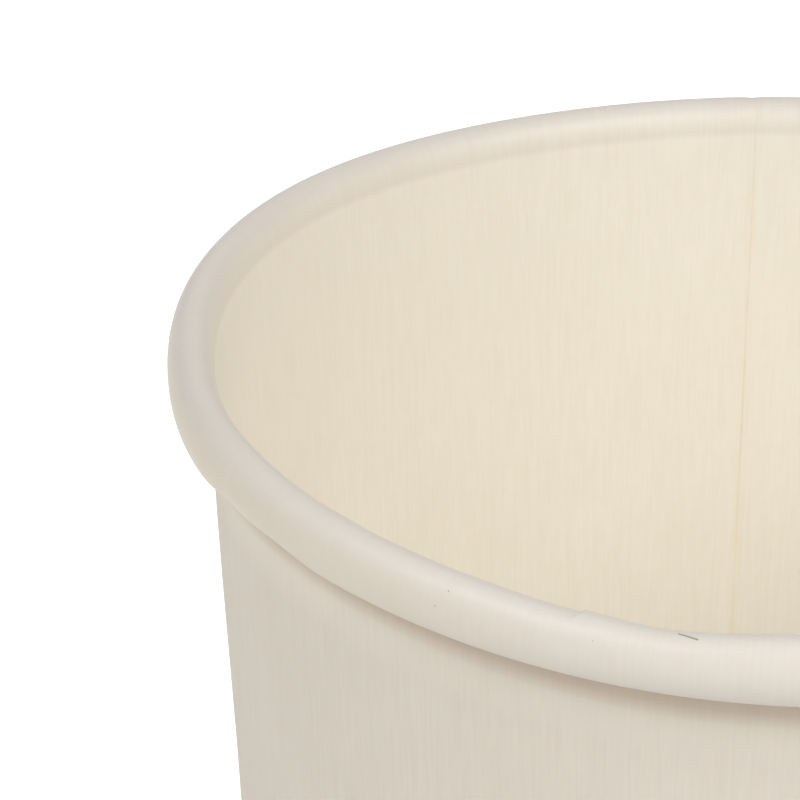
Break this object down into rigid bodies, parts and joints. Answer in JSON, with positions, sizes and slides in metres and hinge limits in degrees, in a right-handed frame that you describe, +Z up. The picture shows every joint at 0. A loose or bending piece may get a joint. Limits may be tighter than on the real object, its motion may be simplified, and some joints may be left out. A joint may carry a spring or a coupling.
{
  "type": "paper cup",
  "caption": "Tapered single-wall paper cup for hot drinks, with a lapped side seam, a rolled rim and a recessed base held in the folded foot.",
  "frame": {"origin": "middle of the standing ring, on the plane the cup stands on", "axes": "+Z up the cup's axis towards the rim; the side seam faces +Y, on the far side from a viewer at -Y"},
  "size_m": [0.08, 0.08, 0.092],
  "materials": {
    "wall_board": "matte",
    "base_board": "satin"
  },
  "bodies": {
    "root": {"side_wall": "wall_board", "base_disc": "base_board"}
  },
  "joints": []
}
